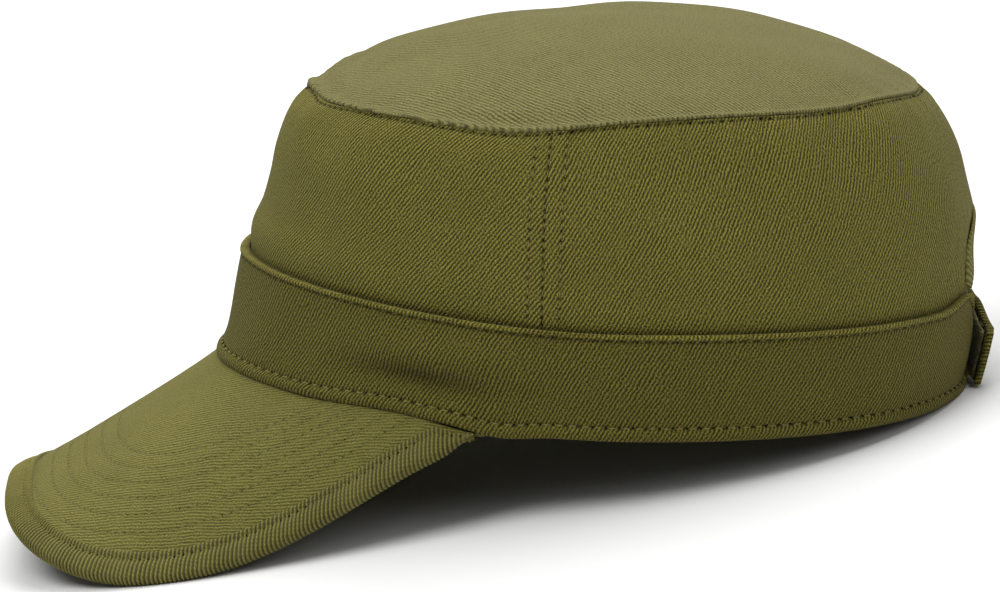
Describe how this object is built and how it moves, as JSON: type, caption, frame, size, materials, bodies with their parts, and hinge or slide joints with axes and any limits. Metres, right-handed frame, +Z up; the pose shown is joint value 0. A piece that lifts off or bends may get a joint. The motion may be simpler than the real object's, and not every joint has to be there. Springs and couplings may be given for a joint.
{
  "type": "military cap",
  "caption": "Olive cotton twill army cap with a domed flat crown, wide band, curved stitched peak and a hook-and-loop strap across an arched opening at the back.",
  "frame": {"origin": "centre of the bounding box in plan, on the surface that the cap rests on", "axes": "+Z up, peak towards -Y, closure at the back towards +Y, wearer's left towards +X"},
  "size_m": [0.1684, 0.2806, 0.12],
  "materials": {
    "twill_top": "matt woven twill",
    "twill_side": "matt woven twill",
    "twill_band": "matt woven twill",
    "twill_peak": "matt woven twill",
    "twill_binding": "matt woven twill, ribs across the edge",
    "hook_tape": "rough pile of small hooks",
    "loop_tape": "soft looped pile"
  },
  "bodies": {
    "root": {"crown_top": "twill_top", "side_front": "twill_side", "side_rear": "twill_side", "band": "twill_band", "peak": "twill_peak", "peak_binding": "twill_binding", "arch_binding": "twill_binding", "closure_strap": "twill_band", "closure_hook_pad": "hook_tape", "closure_tab": "twill_band", "closure_loop_pad": "loop_tape"}
  },
  "joints": []
}
